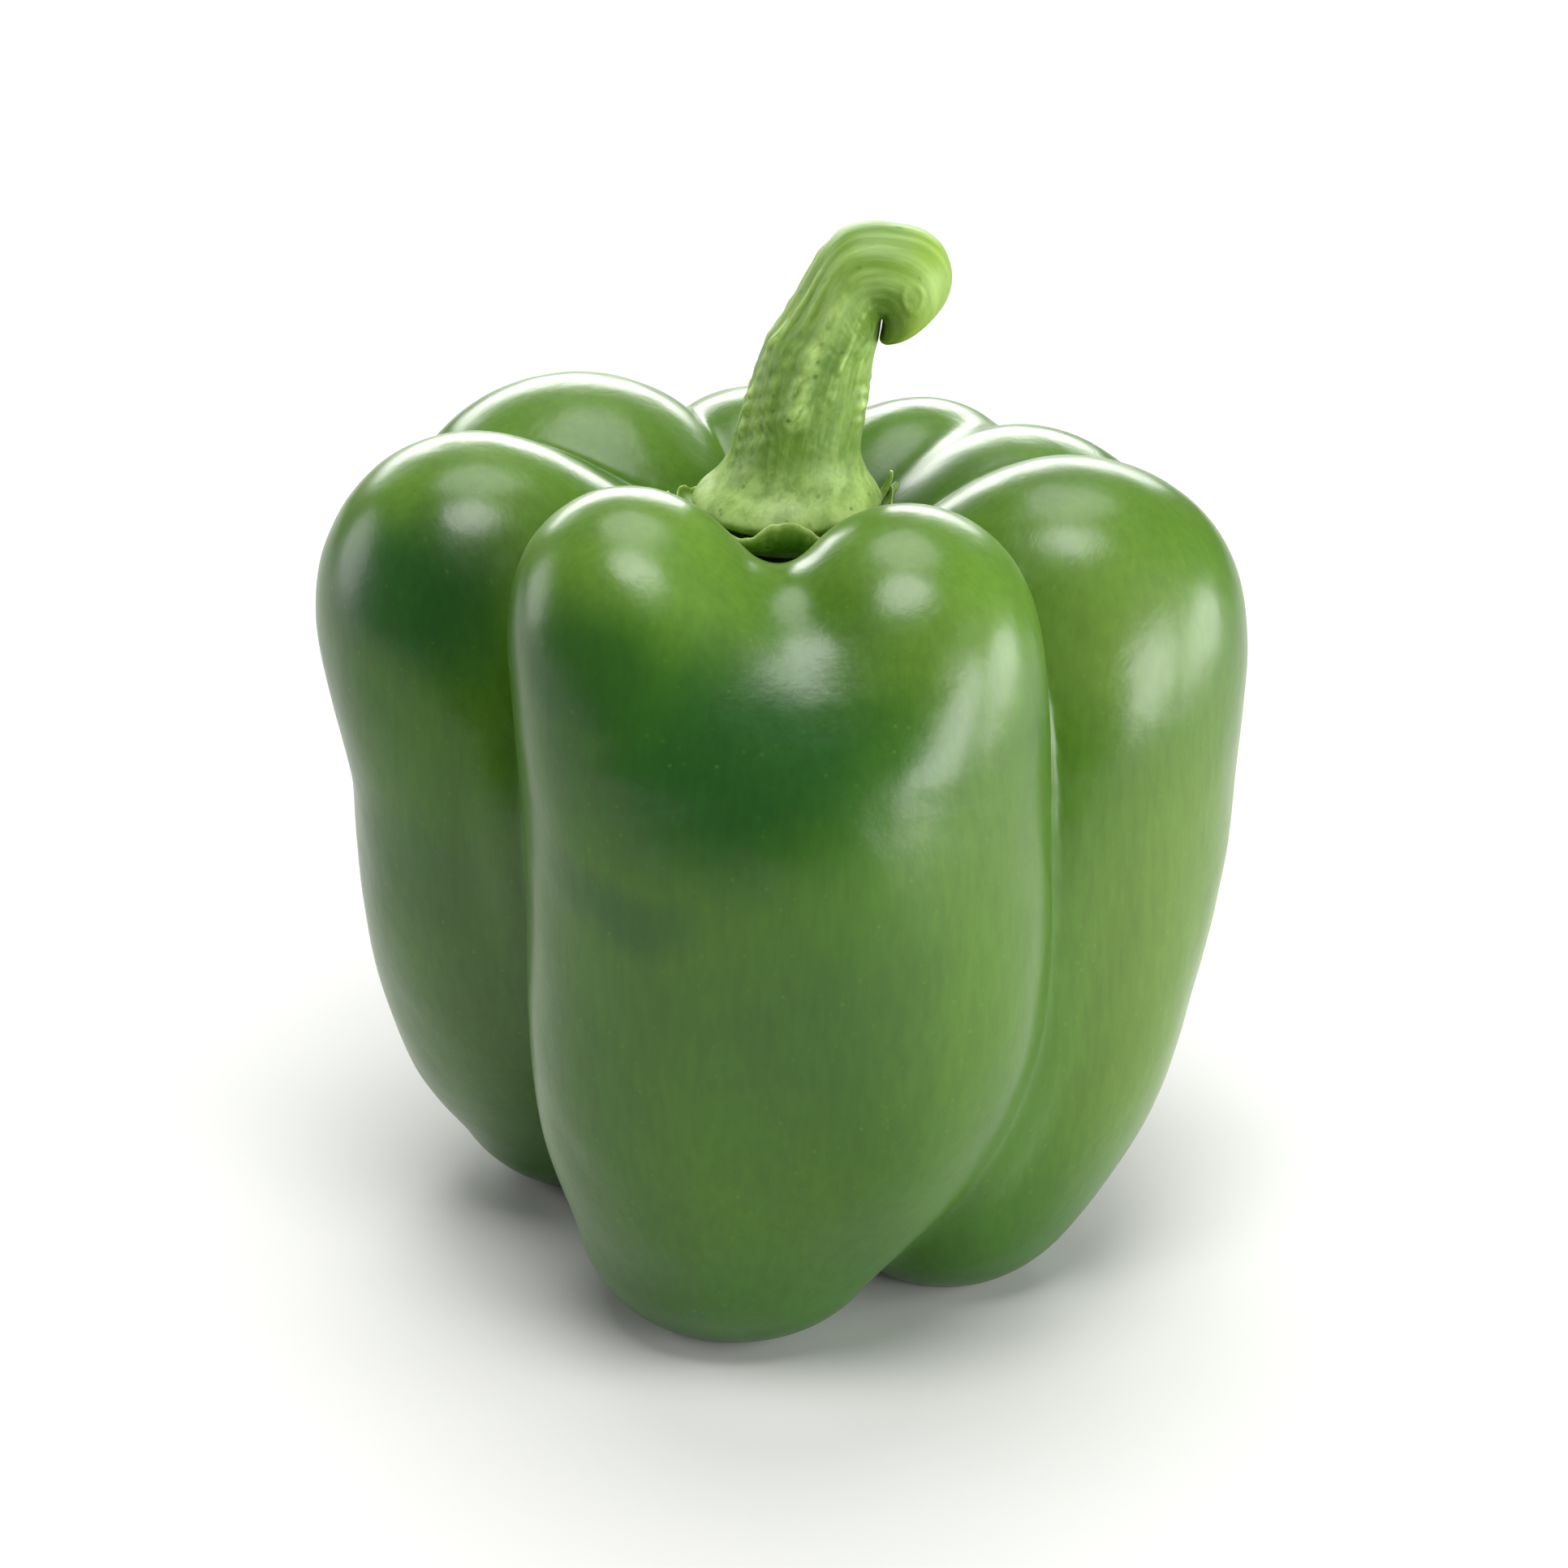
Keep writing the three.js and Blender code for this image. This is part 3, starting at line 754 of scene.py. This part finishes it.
def waxy_skin(settings):
    """The ripe green pericarp under its natural wax.

    The wax makes it glossy with a soft edge to each highlight, and the flesh lets a little light through, so
    it is never quite dark. Its green is deeper in patches, which on the upper front and left faces are painted
    shade. It is painted paler in patches of painted light, mostly on the right, and it is yellower on the
    shoulders.
    """
    material, tree = start_material("waxy_green_skin")
    place = add(tree, "ShaderNodeTexCoord").outputs["Object"]
    grown = add(tree, "ShaderNodeAttribute", attribute_name="grown").outputs["Vector"]
    parts = add(tree, "ShaderNodeSeparateXYZ", links={"Vector": place})

    # Broad clouds of deeper and paler green, about 24 mm across and longer than wide.
    cloud_place = add(tree, "ShaderNodeMapping", {"Scale": (1, 1, 0.55)}, {"Vector": grown})
    clouds = add(
        tree,
        "ShaderNodeTexNoise",
        {"Scale": 1 / 0.024, "Detail": 3.0, "Roughness": 0.5, "Distortion": 0.4},
        {"Vector": cloud_place},
    )
    # The deep patches, partly painted shade, and the patches of painted light, whose edges the clouds push
    # about by as much as 3 mm.
    middling = add(
        tree, "ShaderNodeVectorMath", {1: (0.5,) * 3}, {0: clouds.outputs["Color"]}, operation="SUBTRACT"
    )
    pushed = add(
        tree, "ShaderNodeVectorMath", {1: (0.016,) * 3}, {0: middling, 2: place}, operation="MULTIPLY_ADD"
    )
    cloud_depth = add(
        tree,
        "ShaderNodeMapRange",
        {"From Min": 0.45, "From Max": 0.75, "To Max": 0.4},
        {"Value": clouds},
        interpolation_type="SMOOTHSTEP",
    )
    # The pale patches are painted light: the skin is painted paler where more light and reflection fall on it.
    painted_light = patched(tree, pushed, PAINTED_LIGHT_PATCHES, None)
    # The deep patches are painted shade on the upper front and the left lobe, and the skin's own deeper green
    # at the back.
    depth = patched(tree, pushed, DEEP_GREEN_AND_SHADE_PATCHES, cloud_depth)
    # The clouds move the two changes with height up or down by about 6 mm.
    lifted = add(tree, "ShaderNodeMath", {1: 0.032, 2: -0.016}, {0: clouds}, operation="MULTIPLY_ADD")
    level = add(tree, "ShaderNodeMath", links={0: parts.outputs["Z"], 1: lifted}, operation="ADD")
    foot, shoulder = (
        add(
            tree,
            "ShaderNodeMapRange",
            {"From Min": start, "From Max": end, "To Max": most},
            {"Value": level},
            interpolation_type="SMOOTHSTEP",
        )
        for start, end, most in ((0.022, 0.002, 0.8), (0.066, 0.084, 1))
    )
    painted_light_mix = add(
        tree, "ShaderNodeMix", {6: settings.green, 7: settings.pale_green}, {0: painted_light}, data_type="RGBA"
    )
    mixed = painted_light_mix.outputs[2]
    for share, other in (
        (foot, settings.foot_green),
        (shoulder, settings.shoulder_green),
        (depth, settings.deep_green),
    ):
        mixed = add(tree, "ShaderNodeMix", {7: other}, {0: share, 6: mixed}, data_type="RGBA").outputs[2]

    # Fine streaks that run from the hollow to the feet, 0.4 mm wide, in faint bands 4 mm wide.
    streak_place = add(tree, "ShaderNodeMapping", {"Scale": (1, 1, 0.2)}, {"Vector": grown})
    for scale, rough, least, most in ((1 / 0.0008, 0.6, 0.92, 1.09), (1 / 0.008, 0.5, 0.93, 1.08)):
        streaks = add(
            tree,
            "ShaderNodeTexNoise",
            {"Scale": scale, "Detail": 2.0, "Roughness": rough},
            {"Vector": streak_place},
        )
        share = add(
            tree,
            "ShaderNodeMapRange",
            {"From Min": 0.3, "From Max": 0.7, "To Min": least, "To Max": most},
            {"Value": streaks},
        )
        mixed = add(tree, "ShaderNodeVectorMath", links={0: mixed, "Scale": share}, operation="SCALE")
    # Pale pores 0.3 mm across, uneven in strength, about 1.4 mm apart.
    pores = add(tree, "ShaderNodeTexVoronoi", {"Scale": 1 / 0.0014, "Randomness": 1.0}, {"Vector": grown})
    pore_share = add(
        tree, "ShaderNodeMapRange", {"From Min": 0.18, "From Max": 0.04, "To Max": 0.16}, {"Value": pores}
    )
    pore_parts = add(tree, "ShaderNodeSeparateColor", links={"Color": pores.outputs["Color"]})
    uneven = add(
        tree, "ShaderNodeMath", links={0: pore_share, 1: pore_parts.outputs["Red"]}, operation="MULTIPLY"
    )
    colour = add(tree, "ShaderNodeMix", {7: settings.pore_green}, {0: uneven, 6: mixed}, data_type="RGBA")

    # The wax lies in cells too fine to show, so they are drawn 0.35 mm across. Under them the skin has
    # shallow dimples 2 mm across, which break up the edges of the highlights.
    grain = add(tree, "ShaderNodeTexNoise", {"Scale": 1 / 0.0007, "Detail": 2.0}, {"Vector": grown})
    dimples = add(tree, "ShaderNodeTexNoise", {"Scale": 1 / 0.004, "Detail": 1.0}, {"Vector": grown})
    dimpled = add(tree, "ShaderNodeBump", {"Strength": 0.2, "Distance": 0.0004}, {"Height": dimples})
    bump = add(
        tree, "ShaderNodeBump", {"Strength": 0.1, "Distance": 0.0002}, {"Height": grain, "Normal": dimpled}
    )
    rough = add(
        tree,
        "ShaderNodeMapRange",
        {
            "From Min": 0.3,
            "From Max": 0.7,
            "To Min": settings.roughness - 0.03,
            "To Max": settings.roughness + 0.05,
        },
        {"Value": clouds},
    )
    surface = add(
        tree,
        "ShaderNodeBsdfPrincipled",
        {
            "IOR": 1.4,
            "Subsurface Weight": 0.1,
            "Subsurface Radius": (0.5, 1.0, 0.15),
            "Subsurface Scale": 0.003,
            "Coat Weight": 0.15,
            "Coat Roughness": 0.19,
            "Coat IOR": 1.4,
        },
        {"Base Color": colour.outputs[2], "Roughness": rough, "Normal": bump},
    )
    add(tree, "ShaderNodeOutputMaterial", links={"Surface": surface})
    return material


def fibrous_stalk(settings):
    """The cut fruit stalk and its calyx: green, fibrous and dull.

    Its fibres run along it as paler and deeper lines, its ridges and the calyx's edges have dried paler, and
    it has small dark flecks.
    """
    material, tree = start_material("fibrous_green_stalk")
    straight = add(tree, "ShaderNodeAttribute", attribute_name="straight").outputs["Vector"]
    pale = add(tree, "ShaderNodeAttribute", attribute_name="pale").outputs["Fac"]
    patches = add(tree, "ShaderNodeTexNoise", {"Scale": 1 / 0.007, "Detail": 3.0}, {"Vector": straight})
    patch_share = add(tree, "ShaderNodeMapRange", {"From Min": 0.35, "From Max": 0.65}, {"Value": patches})
    base = add(
        tree,
        "ShaderNodeMix",
        {6: settings.deep_green, 7: settings.green},
        {0: patch_share},
        data_type="RGBA",
    )
    # Fibre bundles, 0.6 mm wide.
    fibre_place = add(tree, "ShaderNodeMapping", {"Scale": (1, 1, 0.15)}, {"Vector": straight})
    fibres = add(
        tree,
        "ShaderNodeTexNoise",
        {"Scale": 1 / 0.0012, "Detail": 3.0, "Roughness": 0.6, "Distortion": 0.2},
        {"Vector": fibre_place},
    )
    fibre_share = add(
        tree, "ShaderNodeMapRange", {"From Min": 0.42, "From Max": 0.7, "To Max": 0.45}, {"Value": fibres}
    )
    # The pale dried ridges are blotchy, in blotches about 1 mm long.
    blotches = add(tree, "ShaderNodeTexNoise", {"Scale": 1 / 0.0018, "Detail": 3.0}, {"Vector": straight})
    blotch_share = add(
        tree, "ShaderNodeMapRange", {"From Min": 0.35, "From Max": 0.6, "To Min": 0.45}, {"Value": blotches}
    )
    dried = add(tree, "ShaderNodeMath", links={0: pale, 1: blotch_share}, operation="MULTIPLY")
    paler = add(tree, "ShaderNodeMath", links={0: dried, 1: fibre_share}, operation="MAXIMUM")
    # Shares that change along the stalk: the knob at the cut end is yellower from 29 mm on, and the mottling
    # below weakens from 12 to 31 mm, and on the foot.
    parts = add(tree, "ShaderNodeSeparateXYZ", links={"Vector": straight})
    changes = [(0.029, 0.036, 0, 0.6), (0.031, 0.012, 0.25, 1), (0.004, 0.01, 0.3, 1)]
    knob, low_down, above_foot = (
        add(
            tree,
            "ShaderNodeMapRange",
            {"From Min": start, "From Max": end, "To Min": least, "To Max": most},
            {"Value": parts.outputs["Z"]},
            interpolation_type="SMOOTHSTEP",
        )
        for start, end, least, most in changes
    )
    # Deeper mottling about 0.5 mm across, thickest low on the stalk, where the skin is most wrinkled.
    mottle_place = add(tree, "ShaderNodeMapping", {"Scale": (1, 1, 0.6)}, {"Vector": straight})
    mottles = add(
        tree,
        "ShaderNodeTexNoise",
        {"Scale": 1 / 0.0011, "Detail": 4.0, "Roughness": 0.7, "Distortion": 0.6},
        {"Vector": mottle_place},
    )
    mottle_share = add(
        tree, "ShaderNodeMapRange", {"From Min": 0.47, "From Max": 0.66, "To Max": 0.75}, {"Value": mottles}
    )
    for share in (low_down, above_foot):
        mottle_share = add(tree, "ShaderNodeMath", links={0: mottle_share, 1: share}, operation="MULTIPLY")
    # Flecks 0.4 mm across, about 1.5 mm apart and uneven in strength.
    flecks = add(tree, "ShaderNodeTexVoronoi", {"Scale": 1 / 0.0015}, {"Vector": straight})
    fleck_share = add(
        tree, "ShaderNodeMapRange", {"From Min": 0.2, "From Max": 0.08, "To Max": 0.8}, {"Value": flecks}
    )
    fleck_parts = add(tree, "ShaderNodeSeparateColor", links={"Color": flecks.outputs["Color"]})
    uneven = add(
        tree, "ShaderNodeMath", links={0: fleck_share, 1: fleck_parts.outputs["Red"]}, operation="MULTIPLY"
    )
    mixed = base.outputs[2]
    for share, other in (
        (paler, settings.pale_green),
        (knob, settings.knob_green),
        (mottle_share, settings.deep_green),
        (uneven, settings.fleck_green),
    ):
        mixed = add(tree, "ShaderNodeMix", {7: other}, {0: share, 6: mixed}, data_type="RGBA").outputs[2]
    fine = add(tree, "ShaderNodeTexNoise", {"Scale": 1 / 0.0006, "Detail": 2.0}, {"Vector": straight})
    bump = add(tree, "ShaderNodeBump", {"Strength": 0.3, "Distance": 0.0002}, {"Height": fibres})
    fine_bump = add(
        tree, "ShaderNodeBump", {"Strength": 0.25, "Distance": 0.0001}, {"Height": fine, "Normal": bump}
    )
    surface = add(
        tree,
        "ShaderNodeBsdfPrincipled",
        {
            "IOR": 1.45,
            "Roughness": settings.roughness,
            "Subsurface Weight": 0.2,
            "Subsurface Radius": (0.7, 1.0, 0.2),
            "Subsurface Scale": 0.003,
        },
        {"Base Color": mixed, "Normal": fine_bump},
    )
    add(tree, "ShaderNodeOutputMaterial", links={"Surface": surface})
    return material


def painted_board(settings):
    """A matt painted board, as a photographer's table has: it is pale and has no shine."""
    material, tree = start_material("matt_painted_board")
    surface = add(
        tree,
        "ShaderNodeBsdfPrincipled",
        {"Base Color": settings.floor_colour, "Roughness": 0.9, "IOR": 1.3},
    )
    add(tree, "ShaderNodeOutputMaterial", links={"Surface": surface})
    return material


# What every colour, and every length of up to a millimetre, has in its settings.
COLOUR = {"size": 4, "subtype": "COLOR"}
FINE_LENGTH = {"subtype": "DISTANCE", "unit": "LENGTH", "precision": 6}


class PepperFruitSettings(bpy.types.PropertyGroup):
    """Sizes and colours of the fruit"""

    rows: bpy.props.IntProperty(
        name="Rows",
        description="Rings of points from the underside to the hollow",
        default=264,
        min=60,
        max=270,
    )
    round_count: bpy.props.IntProperty(
        name="Round", description="Points in each ring", default=366, min=90, max=366
    )
    evening: bpy.props.IntProperty(
        name="Evening",
        description="How often the points are spread over the surface",
        default=4,
        min=0,
        max=12,
    )
    swell: bpy.props.FloatProperty(
        name="Swell",
        description="Depth of the shallow dimples and swells in the skin",
        default=0.06 * MM,
        min=0,
        max=0.3 * MM,
        **FINE_LENGTH,
    )
    roughness: bpy.props.FloatProperty(
        name="Roughness",
        description="How dull the waxy skin is",
        default=0.3,
        min=0.05,
        max=0.9,
        subtype="FACTOR",
    )
    green: bpy.props.FloatVectorProperty(
        name="Green", description="Colour of most of the skin", default=linear("#39600c"), **COLOUR
    )
    # The colour of the deep patches, which on the upper front and the left lobe is painted shade.
    deep_green: bpy.props.FloatVectorProperty(
        name="Deep green", description="Colour of the deep patches", default=linear("#1c4617"), **COLOUR
    )
    # The colour of the pale patches, which is painted light.
    pale_green: bpy.props.FloatVectorProperty(
        name="Pale green", description="Colour of the pale patches", default=linear("#58742e"), **COLOUR
    )
    foot_green: bpy.props.FloatVectorProperty(
        name="Foot green", description="Colour of the feet", default=linear("#28560c"), **COLOUR
    )
    shoulder_green: bpy.props.FloatVectorProperty(
        name="Shoulder green", description="Colour of the shoulders", default=linear("#527426"), **COLOUR
    )
    pore_green: bpy.props.FloatVectorProperty(
        name="Pore green", description="Colour of the pale pores", default=linear("#7c9c48"), **COLOUR
    )


class PepperStalkSettings(bpy.types.PropertyGroup):
    """Sizes and colours of the stalk and calyx"""

    ridge_height: bpy.props.FloatProperty(
        name="Ridges",
        description="Height of the tallest ridges along the stalk",
        default=0.42 * MM,
        min=0,
        max=1 * MM,
        **FINE_LENGTH,
    )
    wrinkle_depth: bpy.props.FloatProperty(
        name="Wrinkles",
        description="Depth of the wrinkles across the stalk",
        default=0.09 * MM,
        min=0,
        max=0.5 * MM,
        **FINE_LENGTH,
    )
    roughness: bpy.props.FloatProperty(
        name="Roughness", description="How dull the stalk is", default=0.5, min=0.1, max=1, subtype="FACTOR"
    )
    green: bpy.props.FloatVectorProperty(
        name="Green", description="Colour of most of the stalk", default=linear("#6d8d2d"), **COLOUR
    )
    deep_green: bpy.props.FloatVectorProperty(
        name="Deep green", description="Colour of its deeper patches", default=linear("#517422"), **COLOUR
    )
    pale_green: bpy.props.FloatVectorProperty(
        name="Pale green", description="Colour of its dried ridges", default=linear("#a5bf70"), **COLOUR
    )
    knob_green: bpy.props.FloatVectorProperty(
        name="Knob green", description="Colour of the knob at its end", default=linear("#88a243"), **COLOUR
    )
    fleck_green: bpy.props.FloatVectorProperty(
        name="Fleck green", description="Colour of the small flecks", default=linear("#3f6a24"), **COLOUR
    )


class PepperStageSettings(bpy.types.PropertyGroup):
    """Sizes, colour and light of the stage"""

    floor_size: bpy.props.FloatProperty(
        name="Floor",
        description="Width of the square floor",
        default=6.0,
        min=1,
        max=20,
        subtype="DISTANCE",
        unit="LENGTH",
    )
    floor_colour: bpy.props.FloatVectorProperty(
        name="Floor colour", description="Colour of the floor", default=linear("#d2d2d0"), **COLOUR
    )
    light: bpy.props.FloatProperty(
        name="Light",
        description="Strength of all the lamps together",
        default=1.0,
        min=0.1,
        max=5,
        subtype="FACTOR",
    )
    room: bpy.props.FloatProperty(
        name="Room light",
        description="Strength of the light from the room",
        default=0.08,
        min=0,
        max=3,
        subtype="FACTOR",
    )


class PEPPER_OT_fruit(bpy.types.Operator):
    """Build the lobed fruit with its waxy skin"""

    bl_idname = "pepper.fruit"
    bl_label = "Build Fruit"

    def execute(self, context):
        """Builds the one piece of the fruit."""
        settings = context.scene.pepper_fruit
        coarse = 1
        rows, round_count = settings.rows // coarse, settings.round_count // coarse
        rings = fruit_rings(rows, round_count, settings.evening // coarse**2)
        # The skin's patterns are drawn along the way it has grown: round it, and from foot to hollow.
        length = np.linspace(0, SKIN_LENGTH, rows)
        angle = np.arange(round_count) * TURN / round_count
        reach = np.hypot(rings[..., 0], rings[..., 1])
        along = np.broadcast_to(length[:, None], reach.shape)
        grown = np.stack([reach * np.sin(angle), -reach * np.cos(angle), along], -1)
        surface = fruit_relief(rings, settings.swell / MM)
        piece = piece_of("pepper_fruit", capped(surface), capped_faces(rows, round_count))
        note(piece, "grown", capped(grown))
        dress(piece, waxy_skin(settings), "fruit")
        return {"FINISHED"}


class PEPPER_OT_stalk(bpy.types.Operator):
    """Build the bent stalk, and the calyx frill and teeth under its foot"""

    bl_idname = "pepper.stalk"
    bl_label = "Build Stalk"

    def execute(self, context):
        """Builds the stalk, the frill and each tooth."""
        settings = context.scene.pepper_stalk
        material = fibrous_stalk(settings)
        rings, straight, pale = stalk_grids(settings)
        piece = piece_of("pepper_stalk", capped(rings), capped_faces(*rings.shape[:2]))
        note(piece, "straight", capped(straight))
        note(piece, "pale", capped(pale)[:, 0])
        dress(piece, material, "stem")

        hoop, edge = frill_grids()
        frill = piece_of("calyx_frill", hoop.reshape(-1, 3), hoop_faces(*hoop.shape[:2]))
        note(frill, "straight", hoop.reshape(-1, 3) - CALYX_DOWN)
        note(frill, "pale", edge.reshape(-1))
        dress(frill, material, "stem")

        for number, row in enumerate(TEETH, 1):
            rings, pale = tooth_grids(*row)
            tooth = piece_of(f"calyx_tooth_{number}", capped(rings), capped_faces(*rings.shape[:2]))
            note(tooth, "straight", capped(rings) - CALYX_DOWN)
            note(tooth, "pale", capped(pale))
            dress(tooth, material, "stem")
        return {"FINISHED"}


class PEPPER_OT_stage(bpy.types.Operator):
    """Set out the floor, the soft lamps and the camera"""

    bl_idname = "pepper.stage"
    bl_label = "Set Stage"

    def execute(self, context):
        """Adds the floor, the lamps, the room's light and the camera."""
        settings = context.scene.pepper_stage
        half = settings.floor_size / 2
        mesh = bpy.data.meshes.new("floor")
        corners = [(-half, -half, 0), (half, -half, 0), (half, half, 0), (-half, half, 0)]
        mesh.from_pydata(corners, [], [(0, 1, 2, 3)])
        floor = bpy.data.objects.new("floor", mesh)
        context.scene.collection.objects.link(floor)
        mesh.materials.append(painted_board(settings))

        for name, place, aim, wide, tall, power in LAMPS:
            lamp = bpy.data.lights.new(name, "AREA")
            lamp.shape = "ELLIPSE"
            lamp.size, lamp.size_y = wide * MM, tall * MM
            lamp.energy = power * settings.light
            holder = bpy.data.objects.new(name, lamp)
            holder.location = Vector(place) * MM
            holder.rotation_euler = (Vector(aim) - Vector(place)).to_track_quat("-Z", "Y").to_euler()
            context.scene.collection.objects.link(holder)

        world = bpy.data.worlds.new("room")
        world.use_nodes = True
        world.node_tree.nodes.clear()
        air = add(
            world.node_tree,
            "ShaderNodeBackground",
            {"Color": (1.0, 1.0, 1.0, 1.0), "Strength": settings.room},
        )
        add(world.node_tree, "ShaderNodeOutputWorld", links={"Surface": air})
        context.scene.world = world
        context.scene.view_settings.view_transform = "Standard"

        rise = math.radians(CAMERA_RISE)
        eye = Vector(CAMERA_AIM) + CAMERA_DISTANCE * Vector((0, -math.cos(rise), math.sin(rise)))
        lens = bpy.data.cameras.new("camera")
        lens.sensor_fit = "HORIZONTAL"
        lens.lens = CAMERA_LENS
        lens.clip_start = 0.01
        camera = bpy.data.objects.new("camera", lens)
        camera.location = eye * MM
        camera.rotation_euler = (math.radians(90) - rise, 0, 0)
        context.scene.collection.objects.link(camera)
        context.scene.camera = camera
        return {"FINISHED"}


class PEPPER_PT_panel(bpy.types.Panel):
    """Sizes, colours and building steps of the pepper"""

    bl_label = "Bell Pepper"
    bl_idname = "PEPPER_PT_panel"
    bl_space_type = "VIEW_3D"
    bl_region_type = "UI"
    bl_category = "Pepper"

    def draw(self, context):
        """Lists each piece's settings above the button that builds it."""
        for settings, operator in PANEL_ROWS:
            box = self.layout.box()
            group = getattr(context.scene, settings)
            for field in group.__annotations__:
                box.prop(group, field)
            box.operator(operator)


PANEL_ROWS = [
    ("pepper_fruit", "pepper.fruit"),
    ("pepper_stalk", "pepper.stalk"),
    ("pepper_stage", "pepper.stage"),
]
GROUPS = {
    "pepper_fruit": PepperFruitSettings,
    "pepper_stalk": PepperStalkSettings,
    "pepper_stage": PepperStageSettings,
}
CLASSES = [*GROUPS.values(), PEPPER_OT_fruit, PEPPER_OT_stalk, PEPPER_OT_stage, PEPPER_PT_panel]


def register():
    """Registers the classes, and hangs each group of settings on the scene."""
    for each in CLASSES:
        bpy.utils.register_class(each)
    for name, group in GROUPS.items():
        setattr(bpy.types.Scene, name, bpy.props.PointerProperty(type=group))


def unregister():
    """Takes away what register added."""
    for name in GROUPS:
        delattr(bpy.types.Scene, name)
    for each in reversed(CLASSES):
        bpy.utils.unregister_class(each)


def main():
    """Builds the pepper and its stage."""
    register()
    bpy.ops.pepper.fruit()
    bpy.ops.pepper.stalk()
    bpy.ops.pepper.stage()


if __name__ == "__main__":
    main()
